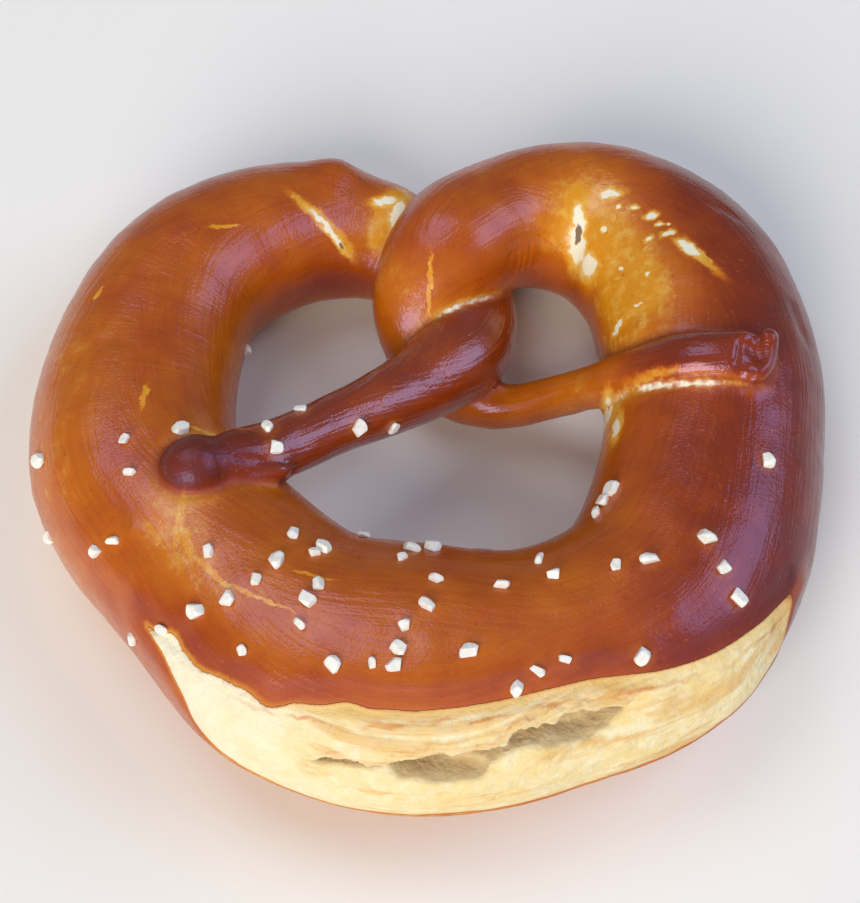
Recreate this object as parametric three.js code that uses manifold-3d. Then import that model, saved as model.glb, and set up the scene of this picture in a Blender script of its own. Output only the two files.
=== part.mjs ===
// A soft pretzel, baked from one rope of dough: a thick belly in front, two lobes behind it,
// and two thin arms that twist round each other and are pressed onto the sides.
// Millimetres, +Z up. It lies on its flat base at z = 0, centred over the origin, belly towards -Y.
import * as THREE from "three";
import { mergeVertices } from "three/addons/utils/BufferGeometryUtils.js";
import Module from "manifold-3d";

// Driving dimensions
const ROPE_STEP = 5; // spacing of the cross-sections along the thick rope
const ARM_STEP = 3.5; // spacing of the cross-sections along an arm
const ROPE_SIDES = 28; // corners of a cross-section, a multiple of four
const DOUGH_SQUARENESS = 2.25; // superellipse power of a cross-section: 2 is an ellipse

// Where the belly has torn open on its outer side: a lens of crumb set back behind the crust.
// Lengths are along the rope from the middle of the belly; angles are round it, 0 facing outwards.
const TEAR = {
  from: -39,
  to: 55,
  tip: 34, // angle of both of its ends
  top: 59, // angle of its upper rim at the middle
  bottom: -28, // angle of its lower rim at the middle
  setBack: 1.4,
};

// Stations along each half of the rope, from the middle of the belly to the twist:
// the middle of the rope [x, y, z], its width across and its thickness.
const BELLY = { at: [-1, -47, 19.5], across: 48.5, thick: 44.5 };
const LEFT_HALF = [
  { at: [-22, -42, 19], across: 47.5, thick: 43 },
  { at: [-40.5, -26.5, 18], across: 40.5, thick: 39 },
  { at: [-54.5, -5, 16.5], across: 39.5, thick: 37 },
  { at: [-55.2, 20, 15], across: 36.5, thick: 34 },
  { at: [-46.5, 41.5, 13.5], across: 32, thick: 31 },
  { at: [-29, 52.5, 12], across: 29, thick: 28 },
  { at: [-12, 53, 10], across: 25, thick: 22 },
  { at: [-0.5, 47, 9], across: 21, thick: 19 },
];
const RIGHT_HALF = [
  { at: [21.5, -45.5, 19], across: 45.5, thick: 43 },
  { at: [40.5, -31, 18.5], across: 43.5, thick: 42 },
  { at: [52, -6.5, 17.5], across: 42, thick: 40 },
  { at: [54, 17, 17], across: 42, thick: 38 },
  { at: [47.5, 41.5, 15.5], across: 38.5, thick: 34.5 },
  { at: [33, 53.8, 14.5], across: 32, thick: 29.5 },
  { at: [16.5, 52.5, 17.5], across: 26, thick: 26 },
  { at: [4, 42, 21], across: 24.5, thick: 25 },
];

// Stations of each arm, going on from the end of its half
const LEFT_ARM = [
  { at: [6.5, 38.5, 9.5], across: 19, thick: 17 },
  { at: [9, 29, 14], across: 17, thick: 17 },
  { at: [5.5, 20, 19.5], across: 17, thick: 16.5 },
  { at: [-4.5, 10, 23.5], across: 13, thick: 12.5 },
  { at: [-16.5, 1.5, 27.5], across: 11, thick: 10.5 },
  { at: [-27.5, -6, 31], across: 11, thick: 9.5 },
  { at: [-37, -10, 33.5], across: 10, thick: 9 },
];
const RIGHT_ARM = [
  { at: [-2, 31.5, 18.5], across: 18, thick: 18 },
  { at: [1.5, 21.5, 10], across: 13, thick: 12.5 },
  { at: [12, 16, 7.5], across: 9, thick: 9 },
  { at: [25, 14.3, 14.5], across: 8.5, thick: 8.5 },
  { at: [37, 11.5, 27], across: 9, thick: 8.5 },
  { at: [47.5, 9.7, 36], across: 9.5, thick: 8 },
  { at: [56.5, 9.2, 38], across: 9.5, thick: 7 },
];

// The blunt knob that ends the left arm, and the pinched tip that ends the right one
const KNOB = { at: [-42, -12.5, 35], size: [14.5, 11.5, 11], turn: 20 };
const TIP = { at: [58.5, 9.5, 38], size: [9, 11, 7], turn: 25 };

const UP = new THREE.Vector3(0, 0, 1);
const radians = THREE.MathUtils.degToRad;

const wasm = await Module();
wasm.setup();

// The rope's middle line and its sizes through a list of stations; t runs from 0 to 1 along it.
class Rope {
  constructor(stations) {
    const middles = stations.map((s) => new THREE.Vector3(...s.at));
    const sizes = stations.map((s) => new THREE.Vector3(s.across, s.thick, 0));
    this.line = new THREE.CatmullRomCurve3(middles, false, "centripetal");
    this.sizes = new THREE.CatmullRomCurve3(sizes, false, "catmullrom");
    this.last = stations.length - 1;
    this.line.arcLengthDivisions = 40 * this.last;
  }

  // t at a station, counted from 0.
  tAt(station) {
    return station / this.last;
  }

  // Millimetres along the line from one t to another.
  lengthBetween(t0, t1) {
    const lengths = this.line.getLengths();
    const lengthAt = (t) => {
      const place = t * (lengths.length - 1);
      const low = Math.floor(place);
      const high = Math.min(low + 1, lengths.length - 1);
      return THREE.MathUtils.lerp(lengths[low], lengths[high], place - low);
    };
    return lengthAt(t1) - lengthAt(t0);
  }

  // t at so many millimetres along the line from another t.
  tFurther(t, length) {
    const whole = this.line.getLength();
    return this.line.getUtoTmapping((this.lengthBetween(0, t) + length) / whole);
  }

  // The cross-section at t: its middle, its directions across (outwards) and up, and its size.
  frame(t) {
    const along = this.line.getTangent(t);
    const across = new THREE.Vector3().crossVectors(along, UP).normalize();
    const up = new THREE.Vector3().crossVectors(across, along);
    return { middle: this.line.getPoint(t), across, up, size: this.sizes.getPoint(t) };
  }

  // A point of the cross-section, given as shares of its half width and half thickness.
  point(t, [x, y], inset = 0) {
    const { middle, across, up, size } = this.frame(t);
    middle.addScaledVector(across, x * (size.x / 2 - inset));
    return middle.addScaledVector(up, y * (size.y / 2 - inset));
  }
}

// A point of the unit superellipse at an angle in radians.
function doughSection(angle) {
  const bend = (v) => Math.sign(v) * Math.abs(v) ** (2 / DOUGH_SQUARENESS);
  return [bend(Math.cos(angle)), bend(Math.sin(angle))];
}

// A closed sweep from t0 to t1: a cylinder's rings, each moved to the cross-section at its t.
// corner(t, number) gives the place of a ring's corner; hub(t) gives the middle of an end cap.
function sweptSolid(rope, t0, t1, step, sides, corner, hub) {
  const steps = Math.max(2, Math.round(rope.lengthBetween(t0, t1) / step));
  const geometry = new THREE.CylinderGeometry(1, 1, 1, sides, steps);
  const place = geometry.getAttribute("position");
  const spot = new THREE.Vector3();
  for (let i = 0; i < place.count; i++) {
    spot.fromBufferAttribute(place, i);
    const t = THREE.MathUtils.lerp(t0, t1, Math.round((spot.y + 0.5) * steps) / steps);
    const turn = Math.atan2(spot.z, spot.x) / (2 * Math.PI);
    const number = (Math.round(turn * sides) + sides) % sides;
    const moved = Math.hypot(spot.x, spot.z) > 0.5 ? corner(t, number) : hub(t);
    place.setXYZ(i, moved.x, moved.y, moved.z);
  }
  return solidOf(geometry);
}

// A length of the dough rope; inset makes it thinner on every side.
function doughSolid(rope, t0, t1, step, inset = 0) {
  const corner = (t, number) => {
    const angle = (number / ROPE_SIDES) * 2 * Math.PI;
    return rope.point(t, doughSection(angle), inset);
  };
  return sweptSolid(rope, t0, t1, step, ROPE_SIDES, corner, (t) => rope.point(t, [0, 0]));
}

// The wedge that opens the belly: from the rope's middle out past the crust, along the tear.
function tearSolid(rope, belly) {
  const sides = 16;
  const from = rope.tFurther(belly, TEAR.from);
  const to = rope.tFurther(belly, TEAR.to);
  const reach = (t, share) => {
    const along = THREE.MathUtils.inverseLerp(from, to, t);
    const opening = Math.max(0.02, Math.sin(Math.PI * along));
    const top = TEAR.tip + (TEAR.top - TEAR.tip) * opening ** 0.7;
    const bottom = TEAR.tip + (TEAR.bottom - TEAR.tip) * opening;
    return doughSection(radians(THREE.MathUtils.lerp(bottom, top, share)));
  };
  const corner = (t, number) => {
    if (number === 0) return rope.point(t, [0.2, 0.1]);
    const [x, y] = reach(t, (number - 1) / (sides - 2));
    return rope.point(t, [1.3 * x, 1.3 * y]);
  };
  const hub = (t) => {
    const [x, y] = reach(t, 0.5);
    return rope.point(t, [0.7 * x, 0.7 * y]);
  };
  return sweptSolid(rope, from, to, ROPE_STEP, sides, corner, hub);
}

// An egg-shaped end of an arm.
function eggSolid({ at, size, turn }) {
  const geometry = new THREE.SphereGeometry(0.5, 20, 14);
  geometry.scale(...size);
  geometry.rotateZ(radians(turn));
  geometry.translate(...at);
  return solidOf(geometry);
}

// A closed geometry as a manifold-3d solid; its doubled corners are merged first.
function solidOf(geometry) {
  geometry.deleteAttribute("normal");
  geometry.deleteAttribute("uv");
  const merged = mergeVertices(geometry, 1e-4);
  const mesh = new wasm.Mesh({
    numProp: 3,
    vertProperties: merged.getAttribute("position").array,
    triVerts: new Uint32Array(merged.index.array),
  });
  return new wasm.Manifold(mesh);
}

// A manifold-3d solid as a geometry.
function geometryOf(solid) {
  const { vertProperties, triVerts } = solid.getMesh();
  const geometry = new THREE.BufferGeometry();
  geometry.setAttribute("position", new THREE.BufferAttribute(vertProperties, 3));
  geometry.setIndex(new THREE.BufferAttribute(triVerts, 1));
  geometry.computeVertexNormals();
  return geometry;
}

// The whole rope is one line, swept in lengths that don't cross themselves and then joined.
function pretzelSolid() {
  const rope = new Rope([
    ...LEFT_ARM.toReversed(),
    ...LEFT_HALF.toReversed(),
    BELLY,
    ...RIGHT_HALF,
    ...RIGHT_ARM,
  ]);
  const leftTwist = rope.tAt(LEFT_ARM.length);
  const belly = rope.tAt(LEFT_ARM.length + LEFT_HALF.length);
  const rightTwist = rope.tAt(LEFT_ARM.length + LEFT_HALF.length + RIGHT_HALF.length);

  const left = doughSolid(rope, leftTwist, belly, ROPE_STEP)
    .add(doughSolid(rope, 0, leftTwist, ARM_STEP))
    .add(eggSolid(KNOB));
  const right = doughSolid(rope, belly, rightTwist, ROPE_STEP)
    .add(doughSolid(rope, rightTwist, 1, ARM_STEP))
    .add(eggSolid(TIP));

  const crumbFrom = rope.tFurther(belly, TEAR.from - 2);
  const crumbTo = rope.tFurther(belly, TEAR.to + 2);
  const crumb = doughSolid(rope, crumbFrom, crumbTo, ROPE_STEP, TEAR.setBack);
  const tableDepth = 60;
  const table = new THREE.BoxGeometry(400, 400, tableDepth).translate(0, 0, -tableDepth / 2);

  return left
    .add(right)
    .subtract(tearSolid(rope, belly))
    .add(crumb)
    .subtract(solidOf(table));
}

const material = new THREE.MeshStandardMaterial({
  color: new THREE.Color(0.42, 0.14, 0.04),
  roughness: 0.4,
  metalness: 0,
});
const pretzel = new THREE.Mesh(geometryOf(pretzelSolid()), material);
pretzel.name = "pretzel";

const part = new THREE.Group();
part.add(pretzel);
export default part;
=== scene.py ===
"""A baked soft pretzel: fused rope, torn belly and coarse salt, in a plain studio."""

import contextlib
import functools
import itertools
import math

import bmesh
import bpy
import numpy as np
from bpy.props import FloatProperty, FloatVectorProperty, IntProperty, PointerProperty
from mathutils import Matrix, Vector
from mathutils.bvhtree import BVHTree


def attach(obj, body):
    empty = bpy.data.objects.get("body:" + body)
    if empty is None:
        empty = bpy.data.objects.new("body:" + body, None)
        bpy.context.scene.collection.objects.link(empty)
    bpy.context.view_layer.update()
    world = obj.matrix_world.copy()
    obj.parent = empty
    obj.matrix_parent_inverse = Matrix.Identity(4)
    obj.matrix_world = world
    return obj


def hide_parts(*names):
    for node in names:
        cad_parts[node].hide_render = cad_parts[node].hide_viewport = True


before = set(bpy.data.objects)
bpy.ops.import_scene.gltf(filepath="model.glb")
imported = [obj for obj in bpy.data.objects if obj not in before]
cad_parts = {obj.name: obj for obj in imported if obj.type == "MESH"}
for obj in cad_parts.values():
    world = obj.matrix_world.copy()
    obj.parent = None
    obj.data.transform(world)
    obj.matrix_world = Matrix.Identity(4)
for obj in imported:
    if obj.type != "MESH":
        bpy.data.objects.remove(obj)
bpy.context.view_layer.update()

bl_info = {
    "name": "Soft pretzel",
    "version": (1, 0, 0),
    "blender": (4, 5, 0),
    "location": "View3D > Sidebar > Pretzel",
    "description": "Builds a baked soft pretzel with its salt on a plain studio floor",
    "category": "Object",
}

MM = 0.001
MOST_TRIANGLES = 200_000
BATCH = 8192  # points measured at a time

# Stations of the rope in millimetres: middle x, y, z, then width across and thickness.
# Each list runs from the middle of the belly outwards, as the baker's rope does.
BELLY = (-1, -46.6, 19.5, 47.6, 44.5)
LEFT_HALF = (
    (-21.7, -41.5, 19, 45.8, 43),
    (-39.1, -24.8, 18, 40.8, 39),
    (-54.5, -5, 16.5, 39.5, 37),
    (-55.2, 20, 15, 36.5, 34),
    (-46.5, 41.5, 13.5, 32, 31),
    (-29, 52.5, 12, 29, 28),
    (-12, 53, 10, 25, 22),
    (-0.5, 47, 9, 21, 19),
)
RIGHT_HALF = (
    (21, -43.8, 19, 42.4, 43),
    (40.9, -33.3, 18.5, 43.5, 42),
    (52, -6.5, 17.5, 42, 40),
    (54, 17, 17, 42, 38),
    (47.5, 41.5, 15.5, 38.5, 34.5),
    (33, 53.8, 14.5, 32, 29.5),
    (16.5, 52.5, 17.5, 26, 26),
    (4, 42, 21, 24.5, 25),
)
LEFT_ARM = (
    (6.5, 38.5, 9.5, 19, 17),
    (9, 29, 14, 17, 17),
    (5.5, 20, 19.5, 17, 16.5),
    (-4.5, 10, 23.5, 13, 12.5),
    (-16.5, 1.5, 27.5, 11, 10.5),
    (-27.5, -6, 31, 11, 9.5),
    (-36, -9.8, 33.8, 10.4, 9.2),
    (-42, -12.2, 35, 9, 8.4),
)
RIGHT_ARM = (
    (-2, 31.5, 18.5, 18, 18),
    (1.5, 21.5, 10, 13, 12.5),
    (12, 16, 7.5, 9, 9),
    (25, 14.3, 14.5, 8.5, 8.5),
    (37, 11.5, 27, 9, 8.5),
    (47.5, 9.7, 36, 9.5, 8),
    (56.5, 9.2, 38, 9.5, 7),
)
DOUGH_SQUARENESS = 2.25  # superellipse power of a cross-section: 2 is an ellipse
ROPE_GAP = 0.7  # mm between the rope's samples
FINE_STEPS = 60  # steps from station to station before the rope is sampled evenly
SAME_STRAND = 42  # mm along the rope within which two places are on one strand

# Millimetres along the rope where an arm starts, where its last part starts, and its end.
LEFT_ARM_START, LEFT_LAST, LEFT_END = -188, -246, -262
RIGHT_ARM_START, RIGHT_LAST, RIGHT_END = 193, 242, 262

# Lumps pressed onto the ends of the arms: middle, size along, across and high, turn in degrees.
KNOB = ((-41.7, -12.1, 35.4), (13.4, 12.2, 11.6), 20)
TIP = ((57.8, 8.6, 37.4), (8.6, 8.4, 6.2), 25)
CRUMPLE = (
    ((61.5, 12, 39.3), (4.4, 4.8, 4.6), 60),
    ((57, 11.7, 39.1), (5.4, 3.8, 4.4), -10),
    ((60.2, 7.4, 37.8), (11, 5, 5.4), 62),
    ((54, 5.6, 36.6), (9, 4, 4.6), 12),
    ((-29.5, -12.4, 33.8), (11, 4, 4.6), 8),
)
# Folds pressed into the dough, in millimetres: from x, y to x, y, half width, depth and the
# lowest z that a fold reaches.
FOLDS = (
    ((59.3, 8), (58.6, 9.4), 1.6, 1.1, 34),
    ((59.4, 14), (59.5, 11.4), 0.6, 0.9, 34),
    ((56, 10.2), (55.2, 6.4), 0.5, 0.5, 34),
    ((-38.8, -5.6), (-36.4, -15), 1.7, 0.3, 33),
    ((-34, -11.6), (-25, -10.8), 0.6, 0.6, 31),
    ((15.2, 35.8), (17.8, 41), 0.8, 0.28, 18),
    ((17.5, 34.8), (21.8, 38.6), 0.6, 0.2, 18),
    ((19.6, 32.6), (25.5, 36.4), 0.9, 0.22, 18),
    ((68.3, 25), (70.2, 19), 1.0, 0.25, 10),
    ((69.8, 20), (70.8, 17), 0.9, 0.2, 10),
    ((55.5, 47.5), (59.5, 44.5), 1.0, 0.2, 14),
)


# ---------------------------------------------------------------- sizes and colours


def colour(red, green, blue):
    """A colour given as bytes, as the linear values that shaders take."""
    return tuple(
        part / 12.92 if part <= 0.04045 else ((part + 0.055) / 1.055) ** 2.4
        for part in (red / 255, green / 255, blue / 255)
    )


def length_prop(name, description, millimetres):
    """A length that a user can change."""
    return FloatProperty(
        name=name,
        description=description,
        default=millimetres * MM,
        min=0,
        subtype="DISTANCE",
        unit="LENGTH",
        precision=5,
    )


def colour_prop(name, description, red, green, blue):
    """A colour that a user can change."""
    return FloatVectorProperty(
        name=name,
        description=description,
        default=colour(red, green, blue),
        min=0,
        max=1,
        subtype="COLOR",
    )


class DoughSizes(bpy.types.PropertyGroup):
    """Sizes of the baked dough."""

    voxel: length_prop("Voxel", "Cell size of the mesh that fuses the rope", 0.93)
    lump: length_prop("Lumps", "Height of the broad unevenness of the crust", 0.55)
    dimple: length_prop("Dimples", "Height of the small unevenness of the crust", 0.1)
    crease: length_prop("Crease", "Depth of the crease where two strands meet", 0.6)
    tear_depth: length_prop("Tear depth", "How far the crumb is set back at the rim", 0.15)
    crumb_swell: length_prop("Crumb swell", "How far the crumb swells out in the tear", 0.9)
    smoothing: IntProperty(
        name="Smoothing",
        description="Passes that soften the joints between strands",
        default=3,
        min=0,
        max=40,
    )


class DoughColours(bpy.types.PropertyGroup):
    """Colours of crust and crumb, from the least to the most baked, and the painted shade of holes
    and air pockets.
    """

    pale: colour_prop("Pale", "Dough in the small cracks", 242, 236, 208)
    yellow: colour_prop("Yellow", "Crust that the lye and heat hardly reached", 222, 148, 26)
    golden: colour_prop("Golden", "Lightly baked crust", 202, 112, 12)
    brown: colour_prop("Brown", "Most of the crust", 172, 78, 8)
    red_brown: colour_prop("Red brown", "Well baked crust", 134, 50, 6)
    mahogany: colour_prop("Mahogany", "The thin arms, baked darkest", 88, 31, 6)
    foam: colour_prop("Foam", "Specks on the lightly baked crust", 236, 194, 92)
    # painted shade: a dark colour standing in for the shade inside small holes
    shade: colour_prop("Shade", "Inside of small holes in the crust", 134, 112, 78)
    crumb: colour_prop("Crumb", "Soft inside of the bread", 238, 220, 166)
    white_crumb: colour_prop("White crumb", "Crumb that the oven left white", 240, 234, 206)
    toasted: colour_prop("Toasted", "Browned bands on the crumb", 218, 164, 76)
    honey: colour_prop("Honey", "Warmer patches of the crumb", 234, 204, 124)
    tan: colour_prop("Tan", "Thin band of crumb right under the rim", 230, 190, 112)
    # hollow and deep are painted shade inside the air pockets; deep is the painted shadow under the
    # torn flap
    hollow: colour_prop("Hollow", "Inside of the air pockets", 216, 192, 140)
    deep: colour_prop("Deep", "Upper inside of the air pockets", 152, 116, 74)


class SaltSizes(bpy.types.PropertyGroup):
    """Sizes and colour of the coarse salt."""

    largest: length_prop("Largest grain", "Length of the largest grain", 3.6)
    smallest: length_prop("Smallest grain", "Length of the smallest grain", 2.1)
    seed: IntProperty(name="Seed", description="Another scatter of grains", default=7)
    white: colour_prop("Salt", "Colour of the grains", 250, 248, 238)


class StageSizes(bpy.types.PropertyGroup):
    """Camera and floor of the studio."""

    distance: length_prop("Camera distance", "From the camera to the pretzel", 400)
    elevation: FloatProperty(
        name="Elevation",
        description="How high the camera looks down from",
        default=math.radians(62),
        subtype="ANGLE",
        unit="ROTATION",
    )
    lens: FloatProperty(
        name="Lens",
        description="Focal length on a 36 mm sensor",
        default=84.1,
        min=1,
        unit="CAMERA",
    )
    floor: colour_prop("Floor", "Colour of the floor", 242, 240, 235)


# ---------------------------------------------------------------- the rope


def through(rows, places):
    """Rows of numbers joined by a smooth curve, read at places counted in rows from 0.

    It is a centripetal Catmull-Rom curve on the first three columns, which the others follow.
    """
    rows = np.array(rows, float)
    hops = np.linalg.norm(np.diff(rows[:, :3], axis=0), axis=1) ** 0.5
    before = np.vstack([2 * rows[0] - rows[1], rows[:-1]])
    after = np.vstack([rows[1:], 2 * rows[-1] - rows[-2]])
    hop_in = np.concatenate([hops[:1], hops])[:, None]
    hop_out = np.concatenate([hops, hops[-1:]])[:, None]
    slopes = (
        (rows - before) / hop_in
        - (after - before) / (hop_in + hop_out)
        + (after - rows) / hop_out
    )
    piece = np.clip(np.floor(places).astype(int), 0, len(rows) - 2)
    share = (places - piece)[:, None]
    width = hops[piece][:, None]
    start, end = rows[piece], rows[piece + 1]
    return (
        (1 + 2 * share) * (1 - share) ** 2 * start
        + share * (1 - share) ** 2 * width * slopes[piece]
        + share**2 * (3 - 2 * share) * end
        + share**2 * (share - 1) * width * slopes[piece + 1]
    )


def ease(low, high, values):
    """0 below low, 1 above high and a smooth rise between, or a fall where low is above high."""
    share = np.clip((np.asarray(values, float) - low) / (high - low), 0, 1)
    return share * share * (3 - 2 * share)


class Rope:
    """The dough's middle line, sampled evenly from the left arm's end to the right arm's."""

    def __init__(self):
        stations = (*LEFT_ARM[::-1], *LEFT_HALF[::-1], BELLY, *RIGHT_HALF, *RIGHT_ARM)
        belly = len(LEFT_ARM) + len(LEFT_HALF)
        fine = np.linspace(0, len(stations) - 1, FINE_STEPS * len(stations))
        rows = through(stations, fine)
        run = np.linalg.norm(np.diff(rows[:, :3], axis=0), axis=1)
        length = np.concatenate([[0], np.cumsum(run)])
        even = np.arange(0, length[-1], ROPE_GAP)
        rows = np.stack([np.interp(even, length, column) for column in rows.T], axis=1)
        self.along = even - np.interp(belly, fine, length)
        self.middle = rows[:, :3]
        self.half = rows[:, 3:] / 2
        ahead = np.gradient(self.middle, axis=0)
        self.ahead = ahead / np.linalg.norm(ahead, axis=1)[:, None]
        self.bend = np.gradient(self.ahead, axis=0) / ROPE_GAP
        across = np.cross(self.ahead, (0, 0, 1))
        self.across = across / np.linalg.norm(across, axis=1)[:, None]
        self.up = np.cross(self.across, self.ahead)

    def sample(self, along):
        """Number of the sample at so many millimetres along."""
        return int(np.argmin(np.abs(self.along - along)))

    def surface(self, number, angle):
        """The crust at a sample and an angle in radians."""
        x, y = (
            math.copysign(abs(part) ** (2 / DOUGH_SQUARENESS), part)
            for part in (math.cos(angle), math.sin(angle))
        )
        wide, high = self.half[number]
        return self.middle[number] + self.across[number] * x * wide + self.up[number] * y * high

    def local(self, points, number):
        """Points seen from their samples: across and up in half widths, millimetres ahead, and
        how much of that way the rope's bend takes up."""
        away = points - self.middle[number]
        axes = self.across, self.up, self.ahead, self.bend
        x, y, ahead, bend = ((away * axis[number]).sum(axis=1) for axis in axes)
        return x / self.half[number, 0], y / self.half[number, 1], ahead, bend

    def strand_gap(self, points, first, last):
        """Millimetres from each point to the skin of one strand, and its nearest sample there."""
        radius = self.half[first:last].mean(axis=1)
        middle = self.middle[first:last]
        squares = (middle**2).sum(axis=1)
        number = np.empty(len(points), int)
        for start in range(0, len(points), BATCH):
            some = points[start : start + BATCH]
            apart = (some**2).sum(axis=1)[:, None] - 2 * some @ middle.T + squares
            number[start : start + BATCH] = (np.sqrt(np.maximum(apart, 0)) - radius).argmin(axis=1)
        number += first
        x, y, ahead, _ = self.local(points, number)
        width = self.half[number].mean(axis=1)
        return (np.sqrt(x**2 + y**2 + (ahead / width) ** 2) - 1) * width, number

    def locate(self, points):
        """Where each point lies: sample, mm along, angle round, mm to the nearest crease between
        strands, and how far it is on an arm, in mm, which is negative on the body."""
        arms = (self.sample(along) for along in (LEFT_ARM_START, 0, RIGHT_ARM_START))
        ends = [0, *arms, len(self.along) - 1]
        gaps, numbers = zip(*(self.strand_gap(points, *span) for span in zip(ends, ends[1:])))
        gaps, numbers = np.array(gaps), np.array(numbers)
        for strand, (middle, size, turn) in ((0, KNOB), (3, TIP)):
            skin = (egg_field(points, middle, size, turn) - 1) * np.mean(size) / 2
            gaps[strand] = np.minimum(gaps[strand], skin)
        best = gaps.argmin(axis=0)
        each = np.arange(len(points))
        number = numbers[best, each]
        same = np.abs(self.along[numbers] - self.along[number]) < SAME_STRAND
        second = np.where(same, 1e3, gaps).min(axis=0)
        crease = second - gaps[best, each]
        arm = gaps[1:3].min(axis=0) - gaps[[0, 3]].min(axis=0)
        x, y, ahead, bend = self.local(points, number)
        along = self.along[number] + ahead / np.maximum(1 - bend, 0.3)
        return number, along, np.arctan2(y, x), crease, arm


def egg_field(points, middle, size, turn):
    """Distance from the middle of an egg-shaped lump, 1 on its skin."""
    turn = math.radians(turn)
    x, y, z = (points - np.array(middle)).T
    ahead = x * math.cos(turn) + y * math.sin(turn)
    beside = y * math.cos(turn) - x * math.sin(turn)
    long, wide, high = np.array(size) / 2
    return np.sqrt((ahead / long) ** 2 + (beside / wide) ** 2 + (z / high) ** 2)


def hill(gap, width):
    """1 at a gap of 0, falling smoothly to almost nothing one and a half widths away."""
    return np.exp(-((gap / width) ** 2))


def near(points, spot, radius):
    """How near each point is to a spot, from 0 to 1."""
    return hill(np.linalg.norm(points - np.array(spot), axis=1), radius)


def lumps(points, size, seed):
    """Smooth random heights from -1 to 1 at the points, with bumps of about the given size."""
    cells = 24
    lattice = np.random.default_rng(seed).uniform(-1, 1, (cells, cells, cells))
    place = np.asarray(points, float) / size
    low = np.floor(place).astype(int)
    share = place - low
    share = share * share * (3 - 2 * share)
    height = np.zeros(len(place))
    for corner in itertools.product((0, 1), repeat=3):
        weight = np.where(corner, share, 1 - share).prod(axis=1)
        x, y, z = ((low + corner) % cells).T
        height += weight * lattice[x, y, z]
    return height


def rope_lumps(along, size, seed, round_rope=0.0):
    """Random heights that change along the rope, and round it where that is given."""
    return lumps(np.stack(np.broadcast_arrays(along, round_rope, 0.0), axis=1), size, seed)


# ---------------------------------------------------------------- meshes


RING_GAP = 2  # samples of the rope from ring to ring
RING_SIDES = 48


@contextlib.contextmanager
def reshaped(mesh):
    """A mesh as a bmesh, which is written back at the end of its block."""
    bm = bmesh.new()
    bm.from_mesh(mesh)
    yield bm
    bm.to_mesh(mesh)
    bm.free()


def sweep(bm, rope, first, last):
    """Sweeps the dough's cross-section along the rope between two samples, closed at both ends."""
    steps = round((last - first) / RING_GAP)
    ring = bmesh.ops.create_circle(bm, segments=RING_SIDES, radius=1)["verts"]
    edges = list({edge for vert in ring for edge in vert.link_edges})
    before = set(bm.verts) - set(ring)
    bmesh.ops.spin(
        bm, geom=ring + edges, axis=(0, 0, 1), cent=(0, 0, 0), dvec=(0, 0, 1), angle=0, steps=steps
    )
    verts = [vert for vert in bm.verts if vert not in before]
    rims = [edge for vert in verts for edge in vert.link_edges if edge.is_boundary]
    bmesh.ops.holes_fill(bm, edges=list(set(rims)), sides=0)
    for vert in verts:
        number = round(first + (last - first) * vert.co.z / steps)
        vert.co = rope.surface(number, math.atan2(vert.co.y, vert.co.x)).tolist()


def egg(bm, middle, size, turn):
    """An egg-shaped lump."""
    matrix = (
        Matrix.Translation(middle)
        @ Matrix.Rotation(math.radians(turn), 4, "Z")
        @ Matrix.Diagonal((*size, 1))
    )
    bmesh.ops.create_uvsphere(bm, u_segments=32, v_segments=20, radius=0.5, matrix=matrix)


def add_piece(name, mesh, material):
    """Puts a finished mesh into the scene as a piece of the pretzel."""
    mesh.materials.clear()
    mesh.materials.append(material)
    mesh.shade_smooth()
    piece = bpy.data.objects.new(name, mesh)
    bpy.context.scene.collection.objects.link(piece)
    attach(piece, "root")
    mesh.calc_loop_triangles()
    if len(mesh.loop_triangles) >= MOST_TRIANGLES:
        raise RuntimeError(f"{name} has {len(mesh.loop_triangles)} triangles")
    return piece


def fused(bm, voxel):
    """The closed shapes of a bmesh, fused into one skin by voxels, as a mesh."""
    bmesh.ops.recalc_face_normals(bm, faces=bm.faces)
    loose = bpy.data.meshes.new("loose")
    bm.to_mesh(loose)
    holder = bpy.data.objects.new("loose", loose)
    bpy.context.scene.collection.objects.link(holder)
    remesh = holder.modifiers.new("fuse", "REMESH")
    remesh.mode = "VOXEL"
    remesh.voxel_size = voxel
    graph = bpy.context.evaluated_depsgraph_get()
    skin = bpy.data.meshes.new_from_object(holder.evaluated_get(graph))
    bpy.data.objects.remove(holder)
    bpy.data.meshes.remove(loose)
    return skin


def read(items, key, kind, width=1):
    """A value of each of a mesh's items, or a row of values."""
    values = np.empty(len(items) * width, kind)
    items.foreach_get(key, values)
    return values.reshape(-1, width) if width > 1 else values


def read_points(mesh):
    """A mesh's vertices in millimetres."""
    return read(mesh.vertices, "co", np.float32, 3).astype(float) / MM


def write_points(mesh, points):
    """Moves a mesh's vertices to places in millimetres."""
    mesh.vertices.foreach_set("co", (points * MM).astype(np.float32).ravel())
    mesh.update()


def softened(mesh, values, passes):
    """Numbers of the vertices, averaged with their neighbours a few times."""
    ends = read(mesh.edges, "vertices", np.int32, 2)
    one, other = ends.T
    count = np.bincount(ends.ravel(), minlength=len(values))
    for _ in range(passes):
        total = np.bincount(one, values[other], len(values))
        total += np.bincount(other, values[one], len(values))
        values = (values + total / np.maximum(count, 1)) / 2
    return values


def write_attribute(mesh, name, values):
    """Keeps one number for each vertex, for the material to read."""
    attribute = mesh.attributes.new(name, "FLOAT", "POINT")
    attribute.data.foreach_set("value", np.asarray(values, np.float32))


# ---------------------------------------------------------------- the dough's shape


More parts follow.
